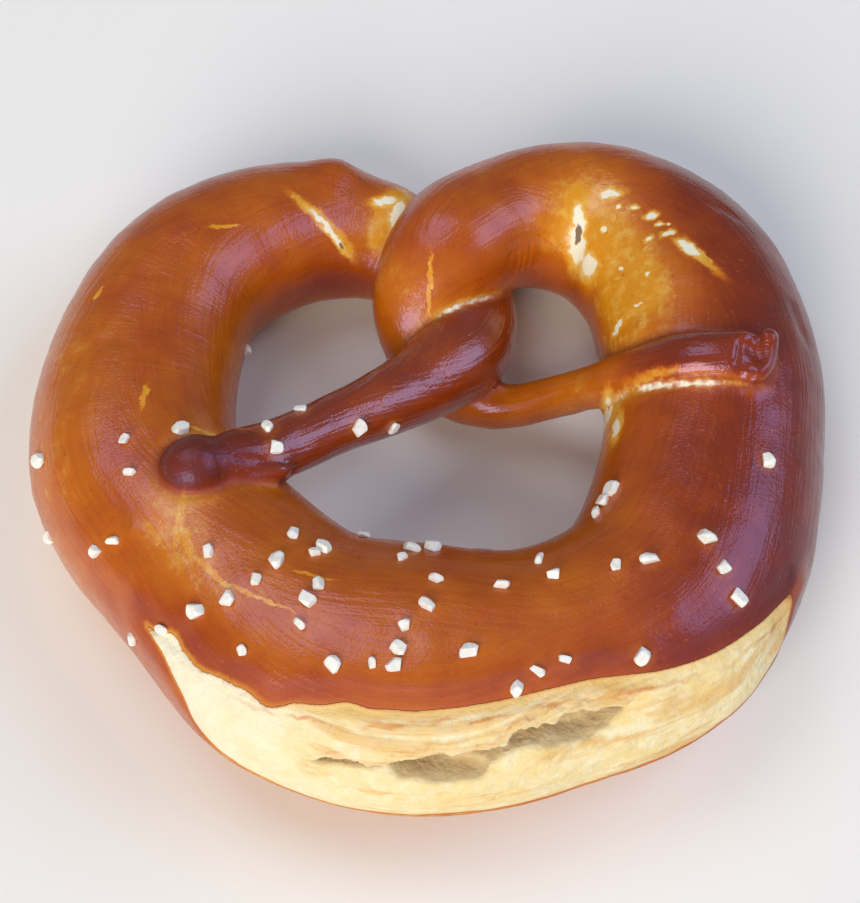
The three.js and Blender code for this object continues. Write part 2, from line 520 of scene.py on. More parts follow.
# The torn belly. Millimetres along the rope from the belly's middle, then the angles round the
# rope of its upper and lower rim, 0 facing outwards and 90 straight up.
TEAR_RIM = (
    (-40, 34, 34),
    (-35, 39, 31),
    (-30, 43, 20),
    (-25, 47, -3),
    (-18, 51, -12),
    (2, 59, -11),
    (20, 60, -12),
    (34, 53, -14),
    (43, 45, -10),
    (49, 37, 4),
    (54, 29, 29),
)
RIM_STEPS = 400
# Air pockets under the torn flap: millimetres along, half length, height and depth.
AIR_POCKETS = (
    (-9, 5.5, 1.8, 2.2),
    (3.5, 8, 6, 5),
    (20, 10.5, 5, 4),
)
# Millimetres along and the share of the tear's height where the torn flap of crumb ends.
FLAP = ((-16, 0.64), (-8, 0.66), (4, 0.71), (12, 0.78), (20, 0.78), (34, 0.85), (44, 0.88))
# Swellings of the crust: middle x, y, z, radius and height in millimetres.
SWELLINGS = (
    (-19, 62, 20, 5, 2.0),
    (-8, 57, 17, 4, 1.2),
    (-52.8, -24.7, 35.4, 1.3, 0.5),
)
# Where pale dough shows in the crease between two strands: x, y, z and radius in millimetres.
SEAMS = (
    (14.5, 35.5, 24, 5),
    (9, 30.5, 26, 6),
    (3, 27, 27, 4),
    (41, 6, 32, 6),
    (50, 4.8, 35.5, 6),
    (34, 9, 26, 4),
)
# Folds outside the tear that need finer faces: middle and radius in millimetres.
FINE_SPOTS = (((59, 9, 38), 7.5), ((-38, -10.5, 38), 4.5), ((20, 38, 24), 4.5))
# Small waves where two strands pinch each other: middle and radius in millimetres.
RIPPLE = ((19, 41, 23), 6)
# Lightly baked patches: middle x, y, z, radius in millimetres, and how much lighter. The
# darker patch at -19, 40, 12 is painted shade on the inner wall of the left hole, and the one at
# -39, 18, 20 is painted light on the shaded inner side of the left body.
GOLDEN_AND_SHADE_PATCHES = (
    (29, 46, 26, 8, 0.36),
    (37, 36, 29, 10, 0.46),
    (42, 24, 31, 9, 0.52),
    (34, 25, 27, 6, 0.16),
    (34, 8, 24, 6, 0.40),
    (33, -2, 26, 5, 0.30),
    (38, -24, 34, 8, 0.12),
    (33, 53, 30, 10, 0.18),
    (-5, 34, 24, 6, 0.38),
    (-19, 40, 12, 9, -0.25),
    (-46, -25, 36, 7, 0.22),
    (-40, -33, 38, 7, 0.22),
    (-27, -41, 40, 9, 0.16),
    (0, -52, 40, 16, 0.14),
    (-14, 46, 19, 6, 0.25),
    (-7, 53, 18, 5, 0.40),
    (1, 24, 25, 5, 0.28),
    (-39, -5, 32, 5, 0.25),
    (-44, -19, 35, 5, 0.25),
    (-39, 18, 20, 8, 0.12),
)
MAP_JUMP = 12  # mm along the rope beyond which a face's corners are on two strands


def tear_field(rope, number, along, angle):
    """Millimetres inside the torn belly, negative outside, the share of the way up across it, and
    its height there in millimetres."""
    rim = through(TEAR_RIM, np.linspace(0, len(TEAR_RIM) - 1, RIM_STEPS))
    top = np.interp(along, rim[:, 0], rim[:, 1])
    bottom = np.interp(along, rim[:, 0], rim[:, 2])
    degrees = np.degrees(angle)
    radius = rope.half[number].mean(axis=1)
    rough = ease(4, -28, along) * ease(-41, -33, along)
    ragged = rope_lumps(along, 3.2, 11) * 1.3 * rough + rope_lumps(along, 9, 12) * (0.5 + rough)
    from_top = np.radians(top - degrees) * radius + ragged
    from_bottom = np.radians(degrees - bottom) * radius + 0.35 * rope_lumps(along, 6, 13)
    from_ends = np.minimum(along - TEAR_RIM[0][0], TEAR_RIM[-1][0] - along)
    inside = np.minimum(np.minimum(from_top, from_bottom), from_ends)
    up = np.clip((degrees - bottom) / np.maximum(top - bottom, 1), 0, 1)
    return inside, up, np.radians(top - bottom) * radius


def soft_floor(height, bend=1.4):
    """Heights pressed flat against the table, with a small bend where the side meets it."""
    return (height + np.sqrt(height**2 + bend**2)) / 2


def segment_gap(points, start, end):
    """Millimetres from each point to a line between two places, seen from above."""
    start, end = np.array(start), np.array(end)
    way = end - start
    share = np.clip((points[:, :2] - start) @ way / (way @ way), 0, 1)
    return np.linalg.norm(points[:, :2] - start - share[:, None] * way, axis=1)


def flap_field(along, up, height):
    """Millimetres above the torn flap's lower edge, how marked it is, and how ragged its edge."""
    climb = up * height
    edge = np.interp(along, *np.transpose(FLAP)) * height + rope_lumps(along, 4.5, 21)
    ragged = 0.8 * rope_lumps(along, 2.2, 22, climb) + 0.35 * rope_lumps(along, 0.9, 23, climb)
    marked = ease(-17, -9, along) * ease(35, 26, along)
    return climb - edge - ragged, marked, ragged


def hollow_field(along, above, ragged):
    """Depth in millimetres of the air pockets that open under the torn flap."""
    depth = np.zeros(len(along))
    uneven = 0.22 * rope_lumps(along, 2.5, 6, above + ragged)
    for place, reach, high, deep in AIR_POCKETS:
        sideways = np.abs(along - place) / reach
        down = np.clip(-above - ragged, 0, None) / high
        inside = 1 - np.hypot(sideways, down) + uneven
        pocket = ease(0, 0.45, inside) * ease(0.25, -0.45, above) * deep
        depth = np.maximum(depth, pocket)
    return depth


def refine_tear(mesh, rope):
    """Halves the faces of the torn belly and a few folds, so that they hold finer detail."""
    points = read_points(mesh)
    number, along, angle, _, _ = rope.locate(points)
    inside, _, _ = tear_field(rope, number, along, angle)
    fine = inside > -1.5
    for spot, reach in FINE_SPOTS:
        fine |= np.linalg.norm(points - spot, axis=1) < reach
    with reshaped(mesh) as bm:
        edges = [edge for edge in bm.edges if any(fine[vert.index] for vert in edge.verts)]
        bmesh.ops.subdivide_edges(bm, edges=edges, cuts=1, use_grid_fill=True)


def sculpt(mesh, rope, sizes):
    """Gives the fused skin its lumps, its torn belly and its flat base, and notes the looks."""
    points = read_points(mesh)
    normals = read(mesh.vertex_normals, "vector", np.float32, 3).astype(float)
    number, along, angle, crease, arm = rope.locate(points)
    inside, up, height = tear_field(rope, number, along, angle)

    lift = lumps(points, 24, 1) * sizes.lump / MM
    lift += lumps(points, 9, 2) * sizes.lump / MM * 0.3
    lift += lumps(points, 3.2, 3) * sizes.dimple / MM
    for x, y, z, radius, swelling in SWELLINGS:
        lift += swelling * near(points, (x, y, z), radius)
    lift -= sizes.crease / MM * hill(crease, 0.9)
    for start, end, half, deep, lowest in FOLDS:
        fold = hill(segment_gap(points, start, end), half)
        lift -= deep * fold * ease(lowest - 1, lowest + 1, points[:, 2])
    lift += 0.15 * np.sin(along * 2.2 + 5 * lumps(points, 5, 32)) * near(points, *RIPPLE)

    crumb = ease(-0.2, 0.7, inside)
    above, marked, ragged = flap_field(along, up, height)
    swell = sizes.crumb_swell / MM * np.sin(np.pi * up) ** 0.8
    knobbly = lumps(points * (0.6, 1, 1), 4.5, 4) * 0.35 + lumps(points, 2.2, 5) * 0.14
    groove = hill(above - 2.6 - lumps(points * (1, 0, 0), 6, 7), 0.5)
    flap = ease(-0.35, 0.35, above) * 0.6 - 1.1 * ease(-7, 0, above) * ease(0.35, -0.35, above)
    hollow = hollow_field(along, above, ragged) * ease(1.5, 4, inside)
    torn = knobbly * ease(0, 4, inside) - 0.28 * groove * marked
    torn += flap * marked * ease(0.5, 3, inside)
    lift += crumb * (swell - sizes.tear_depth / MM + torn - hollow)
    lift += 0.12 * hill(inside + 1.0, 1.0) * ease(-12, 2, along)

    points = points + normals * lift[:, None]
    points[:, 2] = soft_floor(points[:, 2])
    points[:, 2] -= points[:, 2].min()
    write_points(mesh, points)

    seam = ease(1.5, 0.15, crease) * sum(near(points, spot, radius) for *spot, radius in SEAMS)
    glossy = np.where(along < 0, ease(LEFT_LAST - 12, LEFT_LAST, along), 0.25)
    looks = {
        "tear": inside,
        "hollow": hollow,
        "flap": above,
        "flap_share": marked,
        "drop": (1 - up) * height,
        "climb": up * height,
        # nook marks the creases between strands, for their duller gloss and their painted shade
        "nook_shade_and_dull": softened(mesh, ease(1.8, 0.2, crease), 2),
        "arm": softened(mesh, ease(-0.5, 0.8, arm) * glossy, 4),
        "seam": softened(mesh, np.clip(seam, 0, 1), 2),
        "bake_and_shade": softened(mesh, bake_and_shade(points, normals, along, inside, up, crease, arm), 4),
    }
    for name, values in looks.items():
        write_attribute(mesh, name, values)
    write_rope_map(mesh, rope, number, along, angle)


def bake_and_shade(points, normals, along, inside, up, crease, arm):
    """How darkly the crust is baked at each vertex, from 0 to 1, with one patch of painted shade
    and one of painted light among the golden patches.
    """
    amount = 0.43 + 0.38 * ease(22, 68, points[:, 0])
    amount += 0.12 * hill(inside + 3, 3.5) * (up > 0.5)
    amount -= 0.32 * hill(inside + 1, 3) * (up < 0.5) * ease(-34, -20, along)
    amount -= 0.17 * ease(-52, -72, points[:, 0])
    amount -= 0.28 * ease(13, 2, points[:, 2]) * ease(0.2, -0.2, normals[:, 2])
    # the patches hold painted shade and painted light as well as lightly baked crust
    for x, y, z, radius, lighter in GOLDEN_AND_SHADE_PATCHES:
        amount -= lighter * near(points, (x, y, z), radius)
    amount -= 0.22 * ease(3.0, 0.4, crease)
    left_arm = 0.7 + 0.18 * ease(LEFT_LAST, LEFT_END, along)
    right_arm = 0.34 + 0.42 * ease(RIGHT_LAST, RIGHT_END, along)
    on_arm = np.where(along < 0, left_arm, right_arm)
    amount += (on_arm - amount) * ease(-0.5, 0.8, arm)
    return np.clip(amount, 0, 1)


def write_rope_map(mesh, rope, number, along, angle):
    """A UV map in metres: u along the rope, v round it, with the seam underneath."""
    radius = rope.half[number].mean(axis=1)
    turn = np.mod(np.pi / 2 - angle, 2 * np.pi) - np.pi
    corners = read(mesh.loops, "vertex_index", np.int32)
    starts = read(mesh.polygons, "loop_start", np.int32)
    totals = read(mesh.polygons, "loop_total", np.int32)
    first = corners[np.repeat(starts, totals)]
    corner_turn = turn[corners]
    apart = corner_turn - turn[first]
    corner_turn = corner_turn - 2 * np.pi * np.round(apart / (2 * np.pi))
    u = along[corners]
    strange = np.abs(u - along[first]) > MAP_JUMP
    u = np.where(strange, along[first], u)
    corner_turn = np.where(strange, turn[first], corner_turn)
    v = corner_turn * radius[first]
    layer = mesh.uv_layers.new(name="rope")
    layer.data.foreach_set("uv", np.stack([u, v], axis=1).astype(np.float32).ravel() * MM)


def dough_mesh(sizes):
    """The whole fused, sculpted pretzel."""
    rope = Rope()
    belly = rope.sample(0)
    bm = bmesh.new()
    sweep(bm, rope, 0, belly)
    sweep(bm, rope, belly, len(rope.along) - 1)
    for middle, size, turn in (KNOB, TIP, *CRUMPLE):
        egg(bm, middle, size, turn)
    bmesh.ops.scale(bm, vec=(MM, MM, MM), verts=bm.verts)
    mesh = fused(bm, sizes.voxel)
    bm.free()
    ways = {"use_axis_x": True, "use_axis_y": True, "use_axis_z": True}
    with reshaped(mesh) as bm:
        for _ in range(sizes.smoothing):
            bmesh.ops.smooth_vert(bm, verts=bm.verts, factor=0.5, **ways)
    refine_tear(mesh, rope)
    sculpt(mesh, rope, sizes)
    mesh.name = "dough"
    return mesh


# ---------------------------------------------------------------- materials


class Recipe:
    """Builds a material from nodes. Values are numbers, colours or the outputs of other nodes."""

    def __init__(self, name):
        self.material = bpy.data.materials.new(name)
        self.material.use_nodes = True
        self.tree = self.material.node_tree
        self.tree.nodes.clear()

    def node(self, kind, inputs=(), **settings):
        """Adds a node; inputs give a value for a socket's name or number, None for its default."""
        node = self.tree.nodes.new("ShaderNode" + kind)
        for name, value in settings.items():
            setattr(node, name, value)
        for name, value in dict(inputs).items():
            if isinstance(value, bpy.types.NodeSocket):
                self.tree.links.new(value, node.inputs[name])
            elif value is not None:
                socket = node.inputs[name]
                if socket.type == "RGBA" and len(value) == 3:
                    value = (*value, 1)
                socket.default_value = value
        return node

    def math(self, operation, first, second=None, third=None, clamp=False):
        """A Math node's value."""
        inputs = {0: first, 1: second, 2: third}
        return self.node("Math", inputs, operation=operation, use_clamp=clamp).outputs[0]

    def times(self, first, second):
        """Two numbers multiplied."""
        return self.math("MULTIPLY", first, second)

    def fit(self, value, factor, shift):
        """A number multiplied, then shifted."""
        return self.math("MULTIPLY_ADD", value, factor, shift)

    def total(self, *values):
        """Numbers added up."""
        return functools.reduce(functools.partial(self.math, "ADD"), values)

    def most(self, *values):
        """The largest of several numbers."""
        return functools.reduce(functools.partial(self.math, "MAXIMUM"), values)

    def size_of_sum(self, first, second):
        """The sum of two numbers, without its sign."""
        return self.math("ABSOLUTE", self.total(first, second))

    def rise(self, value, low, high, to_low=0.0, to_high=1.0):
        """A smooth step of a value between two limits."""
        names = "Value", "From Min", "From Max", "To Min", "To Max"
        inputs = zip(names, (value, low, high, to_low, to_high))
        return self.node("MapRange", inputs, interpolation_type="SMOOTHSTEP").outputs["Result"]

    def mix(self, share, first, second):
        """Two colours mixed."""
        return self.node("Mix", {0: share, 6: first, 7: second}, data_type="RGBA").outputs[2]

    def painted(self, under, strokes):
        """A colour with others painted over it: each stroke's share, strength and colour."""
        for share, strength, over in strokes:
            under = self.mix(self.times(share, strength), under, over)
        return under

    def blend(self, share, first, second):
        """Two numbers mixed."""
        return self.node("Mix", {0: share, 2: first, 3: second}, data_type="FLOAT").outputs[0]

    def attribute(self, name):
        """A number kept on the mesh."""
        return self.node("Attribute", attribute_name=name).outputs["Fac"]

    def noise(self, vector, scale, detail=2.0, roughness=0.5):
        """Noise from 0 to 1 with its middle near 0.5."""
        inputs = {"Vector": vector, "Scale": scale, "Detail": detail, "Roughness": roughness}
        return self.node("TexNoise", inputs).outputs["Fac"]

    def scaled(self, vector, scale):
        """A vector stretched by three numbers."""
        return self.node("Mapping", {"Vector": vector, "Scale": scale}).outputs["Vector"]

    def ramp(self, value, stops):
        """A colour ramp through pairs of a place and a colour."""
        node = self.node("ValToRGB", {"Fac": value})
        elements = node.color_ramp.elements
        while len(elements) < len(stops):
            elements.new(0.5)
        for element, (place, shade) in zip(elements, stops):
            element.position = place
            element.color = (*shade, 1)
        return node.outputs["Color"]

    def finish(self, inputs):
        """Ends the recipe with a Principled shader."""
        shader = self.node("BsdfPrincipled", inputs)
        self.node("OutputMaterial", {"Surface": shader.outputs[0]})
        return self.material


CRACK_REACH = 5  # mm that a crack reaches up and down from its middle
SHEEN = colour(168, 182, 255)  # the cool tint of what the crust mirrors
# Metres along the rope from which, and at which, the torn belly looks as it does at its ends.
LEFT_OF_BELLY = (-0.006, -0.03)
RIGHT_OF_BELLY = (0.0, 0.045)
# Small marks on the crust: cracks that show pale dough, creases that show yellow dough, and
# holes whose inside is painted shade. Middle x, y, z, length and width in millimetres, and the
# heading of the length in degrees from +X.
BARE_CRACKS = (
    (-20.3, 47.5, 22, 9, 1.1, -42),
    (-6.5, 52.5, 19.5, 6, 2.2, 75),
    (-9, 55, 21, 4, 1.8, 20),
    (29, 46.5, 27.5, 5, 2.2, 95),
    (28.7, 42.5, 24, 6, 2.6, 100),
    (30.8, 38, 24.5, 4.2, 2.4, 110),
    (35, 51, 29.5, 3.4, 1.6, 0),
    (39.5, 47, 31, 1.2, 0.9, 20),
    (42.5, 44.5, 32, 2.0, 1.2, 20),
    (49, 35.5, 34, 4.6, 2.0, -50),
    (45.5, 39.5, 33.5, 2, 1.2, 30),
    (35.5, 22, 27, 2.2, 0.8, 60),
    (36.4, 47.6, 29.6, 1.0, 0.8, 0),
    (33.6, 43.4, 28, 1.3, 0.9, 70),
    (44, 42.2, 33, 1.1, 0.9, 0),
    (45.6, 42, 33.4, 0.8, 0.7, 0),
    (41.5, 38.5, 33, 1.2, 0.8, 40),
    (41, 30.5, 32.5, 1.0, 0.9, 0),
    (36.6, 33.8, 30.4, 0.8, 0.7, 0),
    (39.2, 24.5, 31, 0.9, 0.7, 0),
    (33.3, 6, 22, 4, 1.3, 95),
    (34.3, 0, 27, 4, 1.2, 80),
)
YELLOW_CREASES = (
    (-21, 48.5, 23, 13, 2.0, -38),
    (-8, 52, 20, 11, 4.0, 70),
    (-52, 3, 34, 4, 0.8, 85),
    (-63, 28, 29.5, 2.2, 0.7, 60),
    (-40, 44, 28.5, 4.5, 0.6, 10),
    (52, 32, 35, 8, 1.6, -52),
    (-43.8, -23, 36.5, 7, 1.0, 85),
    (-42.2, -28, 37.5, 4, 1.0, 110),
    (-37, -34.5, 38.5, 8, 0.7, -45),
    (-29, -39.5, 40, 10, 0.5, -28),
    (-20, -35.5, 40, 5, 0.5, -20),
    (0, 30.5, 29, 7.5, 0.7, 88),
    (-37.5, -4, 34.5, 9, 0.6, -12),
    (29, 46, 27, 10, 3.2, 95),
    (47, 6, 34, 20, 1.6, -10),
)
# Small holes drawn only in the colour, painted dark as the shade inside them.
PAINTED_SHADE_HOLES = (
    (28.8, 44.2, 25.6, 3.4, 1.2, 95),
    (-17.5, 45, 20.5, 1.6, 0.6, -50),
)


class DoughRecipe(Recipe):
    """Lye-baked crust and soft crumb in one material, split along the tear's rim."""

    def __init__(self, colours):
        super().__init__("pretzel dough")
        self.colours = colours
        self.place = self.node("TexCoord").outputs["Object"]
        self.strand = self.node("UVMap", uv_map="rope").outputs["UV"]
        self.run = self.node("SeparateXYZ", {0: self.strand}).outputs["X"]
        self.left = self.rise(self.run, *LEFT_OF_BELLY)
        self.right = self.rise(self.run, *RIGHT_OF_BELLY)
        self.arm = self.attribute("arm")
        self.nook_shade_and_dull = self.attribute("nook_shade_and_dull")
        self.middling = self.grit(170, 3)
        self.lines = self.threads(90, 1100)
        self.streaks = self.threads(55, 520, 3, 0.6)
        frayed = self.math("SUBTRACT", self.grit(1500), 0.5)
        frayed = self.times(frayed, self.fit(self.left, 0.6, 0.25))
        self.inside = self.total(self.attribute("tear"), frayed)
        self.crumb = self.rise(self.inside, -0.08, 0.1)
        self.shaken = self.shaken_place()
        self.crack_far = self.crack_field(BARE_CRACKS)
        ragged = self.times(self.grit(700), 0.5)
        self.seam = self.math("SUBTRACT", self.attribute("seam"), ragged)
        crack = self.rise(self.crack_far, 1.2, 0.85)
        self.crack = self.most(crack, self.rise(self.seam, 0.2, 0.55))

    def grit(self, scale, detail=2.0, roughness=0.5):
        """Noise through the whole piece."""
        return self.noise(self.place, scale, detail, roughness)

    def spots(self, scale, low, high, detail=2.0, roughness=0.5):
        """Spots where that noise is beyond a limit, with soft edges."""
        return self.rise(self.grit(scale, detail, roughness), low, high)

    def threads(self, along, round_rope, detail=2.0, roughness=0.5):
        """Noise drawn out along or round the rope."""
        vector = self.scaled(self.strand, (along, round_rope, 1))
        return self.noise(vector, 1, detail, roughness)

    def vector(self, operation, inputs):
        """A Vector Math node's vector."""
        return self.node("VectorMath", inputs, operation=operation).outputs[0]

    def shaken_place(self):
        """Places moved about at random by up to a millimetre, for ragged outlines."""
        cloud = self.node("TexNoise", {"Vector": self.place, "Scale": 600.0, "Detail": 3.0})
        jitter = self.vector("SUBTRACT", {0: cloud.outputs["Color"], 1: (0.5, 0.5, 0.5)})
        jitter = self.vector("SCALE", {0: jitter, "Scale": 2 * MM})
        return self.vector("ADD", {0: self.place, 1: jitter})

    def crack_field(self, cracks):
        """Distance from the nearest crack, as a share of its size: 1 on its edge, less inside."""
        gaps = []
        for x, y, z, long, wide, heading in cracks:
            inputs = {
                "Vector": self.shaken,
                "Location": (x * MM, y * MM, z * MM),
                "Rotation": (0, 0, math.radians(heading)),
                "Scale": (long / 2 * MM, wide / 2 * MM, CRACK_REACH * MM),
            }
            mapping = self.node("Mapping", inputs, vector_type="TEXTURE")
            apart = self.node("VectorMath", {0: mapping.outputs[0]}, operation="LENGTH")
            gaps.append(apart.outputs["Value"])
        return functools.reduce(functools.partial(self.math, "MINIMUM"), gaps)

    def crust(self):
        """Crust colour by how hard it is baked, with specks, foam and cracks, and painted shade in
        the nooks between strands and in small holes.
        """
        colours = self.colours
        amount = self.attribute("bake_and_shade")
        for cloud, spread in ((self.grit(42), 0.3), (self.middling, 0.22), (self.lines, 0.14)):
            amount = self.total(amount, self.fit(cloud, spread, -spread / 2))
        glow = self.rise(self.seam, -0.2, 0.2, 0.0, 0.6)
        glow = self.most(self.rise(self.crack_far, 2.6, 0.9), glow)
        crease = self.rise(self.crack_field(YELLOW_CREASES), 2.0, 0.2)
        for share, lighter in ((glow, 0.42), (crease, 0.75)):
            amount = self.math("SUBTRACT", amount, self.times(share, lighter), clamp=True)
        stops = (
            (0.0, colours.yellow),
            (0.2, colours.golden),
            (0.47, colours.brown),
            (0.7, colours.red_brown),
            (1.0, colours.mahogany),
        )
        light = self.rise(amount, 0.36, 0.08)
        foam = self.spots(330, 0.44, 0.68, 3, 0.7)
        dots = self.spots(520, 0.66, 0.74)
        halo = self.times(self.rise(self.inside, -1.3, 0.0), self.left)
        strokes = (
            (self.spots(1300, 0.68, 0.78, 1), 0.35, colours.golden),
            (self.spots(1100, 0.31, 0.24, 1), 0.3, colours.mahogany),
            (self.attribute("salt"), 0.25, colours.golden),
            (foam, self.times(light, 0.45), colours.foam),
            (dots, self.times(light, 0.6), colours.foam),
            # painted shade darkening the nooks where strands meet
            (self.nook_shade_and_dull, 0.3, colours.mahogany),
            (self.rise(self.crack_far, 1.8, 1.0), 0.8, colours.foam),
            (halo, 0.85, colours.yellow),
            (self.crack, 1.0, colours.pale),
            # painted shade inside the small holes
            (self.rise(self.crack_field(PAINTED_SHADE_HOLES), 1.1, 0.8), 1.0, colours.shade),
        )
        return self.painted(self.ramp(amount, stops), strokes)

    def bread(self):
        """Crumb colour: a tan band under the rim, fibres on the flap, toasted blotches below, and
        painted shade inside the air pockets.
        """
        colours, left, right = self.colours, self.left, self.right
        run, streaks = self.run, self.streaks
        drop = self.attribute("drop")
        flap = self.attribute("flap")
        flap_share = self.attribute("flap_share")
        wobble = self.fit(self.grit(190, 3, 0.6), 3.0, -1.5)
        patches = self.threads(95, 190, 3, 0.6)
        warmth = self.fit(right, 0.12, self.fit(left, -0.28, 0.42))
        on_flap = self.times(self.rise(flap, -0.3, 0.3), flap_share)
        golden_share = self.fit(right, 0.05, self.fit(left, -0.14, self.times(on_flap, 0.2)))
        toast_share = self.fit(right, 0.08, self.times(left, -0.12))
        band = self.rise(self.fit(wobble, 0.5, drop), 2.0, 0.9)
        band = self.times(band, self.rise(run, -0.026, -0.012))
        line = self.size_of_sum(drop, self.fit(wobble, 1.1, -2.6))
        line = self.times(self.rise(line, 0.6, 0.1), self.rise(run, -0.026, -0.016))
        second = self.size_of_sum(flap, self.fit(wobble, 1.3, -1.6))
        second = self.times(self.rise(second, 0.5, 0.1), flap_share)
        line = self.most(line, self.times(second, 0.7))
        hollow = self.rise(self.attribute("hollow"), 0.25, 0.8)
        # painted shade in the air pockets, darkest just under the flap's edge as a painted shadow
        pocket = self.mix(self.rise(flap, -2.2, 0.2), colours.hollow, colours.deep)
        low_edge = self.total(self.attribute("climb"), self.fit(right, -3.2, wobble))
        bright_edge = self.rise(self.size_of_sum(flap, -0.35), 0.4, 0.1)
        bright_edge = self.times(bright_edge, flap_share)
        strokes = (
            (self.spots(520, 0.42, 0.66, 2, 0.6), 0.5, colours.white_crumb),
            (self.spots(140, 0.44, 0.62, 3, 0.6), warmth, colours.honey),
            (self.rise(self.total(streaks, golden_share), 0.56, 0.76), 0.52, colours.toasted),
            (self.rise(self.total(patches, toast_share), 0.56, 0.72), 0.6, colours.toasted),
            (band, self.fit(right, -0.4, 0.75), colours.tan),
            (line, self.rise(streaks, 0.36, 0.62, 0.0, 0.6), colours.golden),
            # painted shade inside the air pockets
            (hollow, 1.0, pocket),
            (self.rise(low_edge, 1.4, -1.0), 0.75, colours.toasted),
            (self.rise(low_edge, 0.0, -2.4), 0.6, colours.golden),
            (self.rise(self.inside, 0.6, 0.0), 0.6, colours.golden),
            (bright_edge, self.rise(streaks, 0.4, 0.7, 0.0, 0.7), colours.white_crumb),
            (self.spots(900, 0.3, 0.22), 0.3, colours.toasted),
        )
        return self.painted(self.mix(left, colours.crumb, colours.white_crumb), strokes)

    def relief(self):
        """Fine heights in millimetres, as a normal."""
        along_lines = self.times(self.lines, self.fit(self.arm, 0.1, 0.12))
        hoops = self.threads(900, 70)
        hoops = self.times(hoops, self.times(self.rise(self.run, -0.05, -0.09), 0.1))
        hoops = self.times(hoops, self.rise(self.arm, 0.3, 0.0))
        pores = self.times(self.grit(1900, 1), 0.06)
        peel = self.times(self.grit(420), 0.035)
        flakes = self.times(self.streaks, 0.5)
        holes = self.times(self.grit(600, 2, 0.6), 0.38)
        pits = self.node("TexVoronoi", {"Vector": self.place, "Scale": 420.0}).outputs["Distance"]
        pits = self.times(self.rise(pits, 0.0, 0.4), 0.1)
        crust = self.total(along_lines, hoops, pores, peel)
        height = self.blend(self.crumb, crust, self.total(flakes, holes, pits))
        return self.node("Bump", {"Strength": 1.0, "Distance": MM, "Height": height}).outputs[0]

    def baked(self):
        """The finished material: glossy crust, dull near the rim, in nooks and on the crumb."""
        dull = self.most(
            self.crumb,
            self.crack,
            self.rise(self.inside, -5.5, -1.5, 0.0, 0.8),
            self.times(self.nook_shade_and_dull, 0.8),
            self.rise(self.attribute("bake_and_shade"), 0.78, 0.88, 0.0, 0.3),
        )
        bump = self.relief()
        gloss = self.fit(self.arm, 0.75, 0.15)
        return self.finish(
            {
                "Base Color": self.mix(self.crumb, self.crust(), self.bread()),
                "Roughness": self.blend(dull, self.fit(self.middling, 0.1, 0.21), 0.85),
                "Normal": bump,
                "Coat Weight": self.times(self.math("SUBTRACT", 1.0, dull), gloss),
                "Coat Roughness": 0.14,
                "Specular IOR Level": 0.6,
                "Specular Tint": SHEEN,
                "Coat Normal": bump,
            }
        )


def salt_material(white):
    """Coarse salt: white, a little glassy, with a frosted skin."""
    recipe = Recipe("coarse salt")
    place = recipe.node("TexCoord").outputs["Object"]
    cloud = recipe.noise(place, 900, 3, 0.6)
    shade = recipe.mix(recipe.rise(cloud, 0.35, 0.7), tuple(part * 0.86 for part in white), white)
    frost = recipe.times(recipe.noise(place, 2600), 0.06)
    bump = recipe.node("Bump", {"Strength": 0.7, "Distance": MM, "Height": frost})
    return recipe.finish(
        {
            "Base Color": shade,
            "Roughness": recipe.fit(cloud, 0.3, 0.25),
            "Normal": bump.outputs[0],
            "Subsurface Weight": 0.5,
            "Subsurface Radius": (0.001, 0.001, 0.001),
            "Subsurface Scale": 1.0,
            "IOR": 1.54,
        }
    )


def floor_material(shade):
    """Plain matt floor with a barely visible mottle."""
    recipe = Recipe("plain floor")
    place = recipe.node("TexCoord").outputs["Object"]
    darker = tuple(part * 0.985 for part in shade)
    mottle = recipe.mix(recipe.noise(place, 6), darker, shade)
    return recipe.finish({"Base Color": mottle, "Roughness": 0.9, "Specular IOR Level": 0.2})


# ---------------------------------------------------------------- the salt


# Pinches of salt: where a row of grains starts and ends, in millimetres, and how many they are;
# or the place of a single grain.
PINCHES = (
    ((-55, -7, 35), (-54, -14, 36), 2),
    ((-45, -4, 34),),
    ((-71, -7, 27), (-70, -18, 19), 2),
    ((-29, -4, 37), (-27, -9, 37), 2),
    ((-24, 1, 34),),
    ((-13, -2, 30), (-7, 1, 26), 2),
    ((-56, -26, 34), (-60, -27, 31), 2),
    ((-39, -30, 38), (-27, -33, 39), 2),
    ((-24, -26, 37),),
    ((-20, -31, 38), (-18, -29, 37), 2),
    ((-12, -23, 31),),
    ((-3, -28, 35), (-5, -31, 38), 2),
    ((1, -27, 34),),
    ((1, -36, 40), (0, -42, 41), 2),
    ((-4, -45, 42), (-6, -53, 41), 3),
    ((-10, -52, 41), (-16, -52, 41), 2),
    ((-22, -45, 40), (-19, -37, 40), 3),
    ((-30, -36, 39), (-35, -39, 39), 2),
    ((-40, -41, 37), (-47, -43, 33), 2),
    ((-54, -41, 24),),
    ((-32, -49, 38),),
    ((6, -50, 41),),
    ((12, -37, 39),),
    ((19, -31, 36), (21, -35, 39), 2),
    ((32, -34, 40), (38, -32, 40), 2),
    ((48, -28, 39), (52, -38, 36), 3),
    ((36, -50, 38),),
    ((22, -51, 40), (15, -56, 40), 3),
    ((29, -19, 33), (33, -15, 33), 3),
    ((-36, 25, 13),),
    ((60, -12, 36),),
)


GRAIN_LIFT = 0.12  # share of its size that a grain's middle is above the crust


